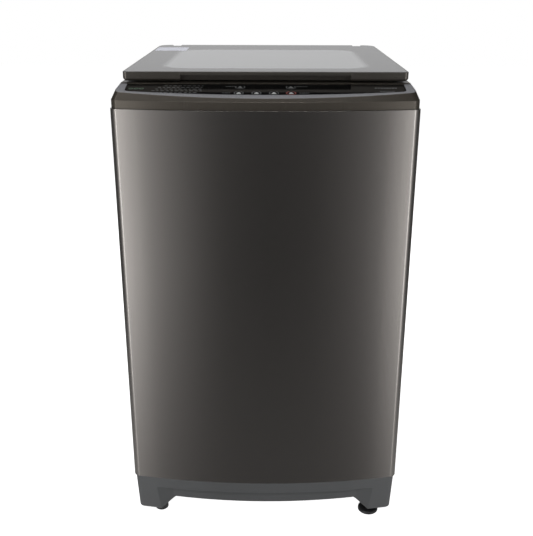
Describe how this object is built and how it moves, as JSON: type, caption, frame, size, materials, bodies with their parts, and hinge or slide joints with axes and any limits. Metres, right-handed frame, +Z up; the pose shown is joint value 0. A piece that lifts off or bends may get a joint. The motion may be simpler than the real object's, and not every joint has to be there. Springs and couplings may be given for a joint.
{
  "type": "top load washing machine",
  "caption": "Top load washing machine: bowed dark steel cabinet on a footed base, rear hinged glass lid, front touch panel, suspended tub, perforated basket and pulsator.",
  "frame": {"origin": "on the floor under the middle of the machine's box", "axes": "+Z up, +X to the right of a person facing the front, front faces -Y"},
  "size_m": [0.6, 0.68, 1.0166],
  "materials": {
    "titanium_steel": "satin",
    "titanium_plastic": "satin",
    "base_plastic": "matte",
    "galvanised_sheet": "satin",
    "screw_steel": "polished",
    "foot_rubber": "matte",
    "foot_plastic": "matte",
    "panel_glass": "gloss",
    "lid_glass": "gloss",
    "grey_plastic": "matte",
    "dark_plastic": "matte",
    "board": "satin",
    "valve_plastic": "matte",
    "hose_plastic": "matte",
    "tub_plastic": "matte",
    "stainless": "brushed",
    "rod_steel": "satin",
    "cast_aluminium": "cast",
    "motor_steel": "satin",
    "pulsator_plastic": "satin",
    "filter_plastic": "matte"
  },
  "bodies": {
    "cabinet": {"cabinet_shell": "titanium_steel", "rear_panel": "galvanised_sheet", "cabinet_screws": "screw_steel", "base_frame": "base_plastic", "rubber_foot_front_left": "foot_rubber", "rubber_foot_rear_left": "foot_rubber", "rubber_foot_rear_right": "foot_rubber", "lock_nut": "screw_steel", "top_frame": "titanium_plastic", "control_panel_glass": "panel_glass", "control_panel_tray": "dark_plastic", "display_board": "board", "main_board_case": "dark_plastic", "water_level_sensor": "dark_plastic", "lid_switch": "dark_plastic", "dispenser_housing": "grey_plastic", "inlet_valve_cold": "valve_plastic", "inlet_valve_hot": "valve_plastic", "cord_gland": "foot_rubber", "drain_spigot": "hose_plastic", "rod_hangers": "galvanised_sheet", "suspension_rod_front_left": "rod_steel", "suspension_rod_front_right": "rod_steel", "suspension_rod_rear_left": "rod_steel", "suspension_rod_rear_right": "rod_steel", "suspension_spring_front_left": "rod_steel", "suspension_spring_front_right": "rod_steel", "suspension_spring_rear_left": "rod_steel", "suspension_spring_rear_right": "rod_steel"},
    "levelling_foot": {"levelling_foot": "foot_plastic"},
    "lid": {"lid_frame": "titanium_plastic", "lid_front_rail": "titanium_plastic", "lid_lining": "grey_plastic", "lid_glass": "lid_glass", "hinge_pins": "screw_steel", "lid_bumpers": "foot_rubber"},
    "drawer": {"detergent_drawer": "grey_plastic"},
    "tub": {"outer_tub": "tub_plastic", "tub_cover": "tub_plastic", "rod_sleeves": "valve_plastic", "tub_bearings": "rod_steel", "shaft_seal": "foot_rubber", "drive_plate": "galvanised_sheet", "clutch_housing": "cast_aluminium", "drive_bolts": "screw_steel", "motor_body": "motor_steel", "drive_belt": "foot_rubber", "drain_valve": "valve_plastic", "drain_hose": "hose_plastic"},
    "input_pulley": {"drive_pulley": "cast_aluminium", "input_shaft": "stainless"},
    "motor_rotor": {"motor_pulley": "cast_aluminium"},
    "basket": {"basket_wall": "stainless", "basket_base": "tub_plastic", "basket_hub": "cast_aluminium", "spin_shaft": "stainless", "balance_ring": "tub_plastic", "lint_filters": "filter_plastic"},
    "pulsator": {"pulsator": "pulsator_plastic", "pulsator_shaft": "stainless"}
  },
  "joints": [
    {"name": "lid_hinge", "type": "hinge", "parent": "cabinet", "child": "lid", "pos_m": [0, 0.316, 1.006], "axis": [-1, 0, 0], "range_deg": [0, 95]},
    {"name": "foot_turn", "type": "hinge", "parent": "cabinet", "child": "levelling_foot", "pos_m": [0.243, -0.291, 0], "axis": [0, 0, 1], "continuous": true},
    {"name": "drawer_slide", "type": "slide", "parent": "cabinet", "child": "drawer", "axis": [0, -1, 0], "range_m": [0, 0.06]},
    {"name": "tub_bounce", "type": "slide", "parent": "cabinet", "child": "tub", "axis": [0, 0, 1], "range_m": [-0.02, 0.02], "stiffness_N_per_m": 16000, "springref_m": 0.023, "deforming": ["suspension_spring_front_left", "suspension_spring_front_right", "suspension_spring_rear_left", "suspension_spring_rear_right"]},
    {"name": "basket_spin", "type": "hinge", "parent": "tub", "child": "basket", "pos_m": [0, 0, 0.25], "axis": [0, 0, 1], "continuous": true},
    {"name": "pulsator_spin", "type": "hinge", "parent": "basket", "child": "pulsator", "pos_m": [0, 0, 0.25], "axis": [0, 0, 1], "continuous": true},
    {"name": "pulley_spin", "type": "hinge", "parent": "tub", "child": "input_pulley", "pos_m": [0, 0, 0.08], "axis": [0, 0, 1], "continuous": true},
    {"name": "motor_spin", "type": "hinge", "parent": "tub", "child": "motor_rotor", "pos_m": [0, 0.16, 0.08], "axis": [0, 0, 1], "continuous": true}
  ],
  "couplings": [
    {"joint": "pulley_spin", "follows": "pulsator_spin", "ratio": 4.2},
    {"joint": "motor_spin", "follows": "pulsator_spin", "ratio": 16.8}
  ]
}
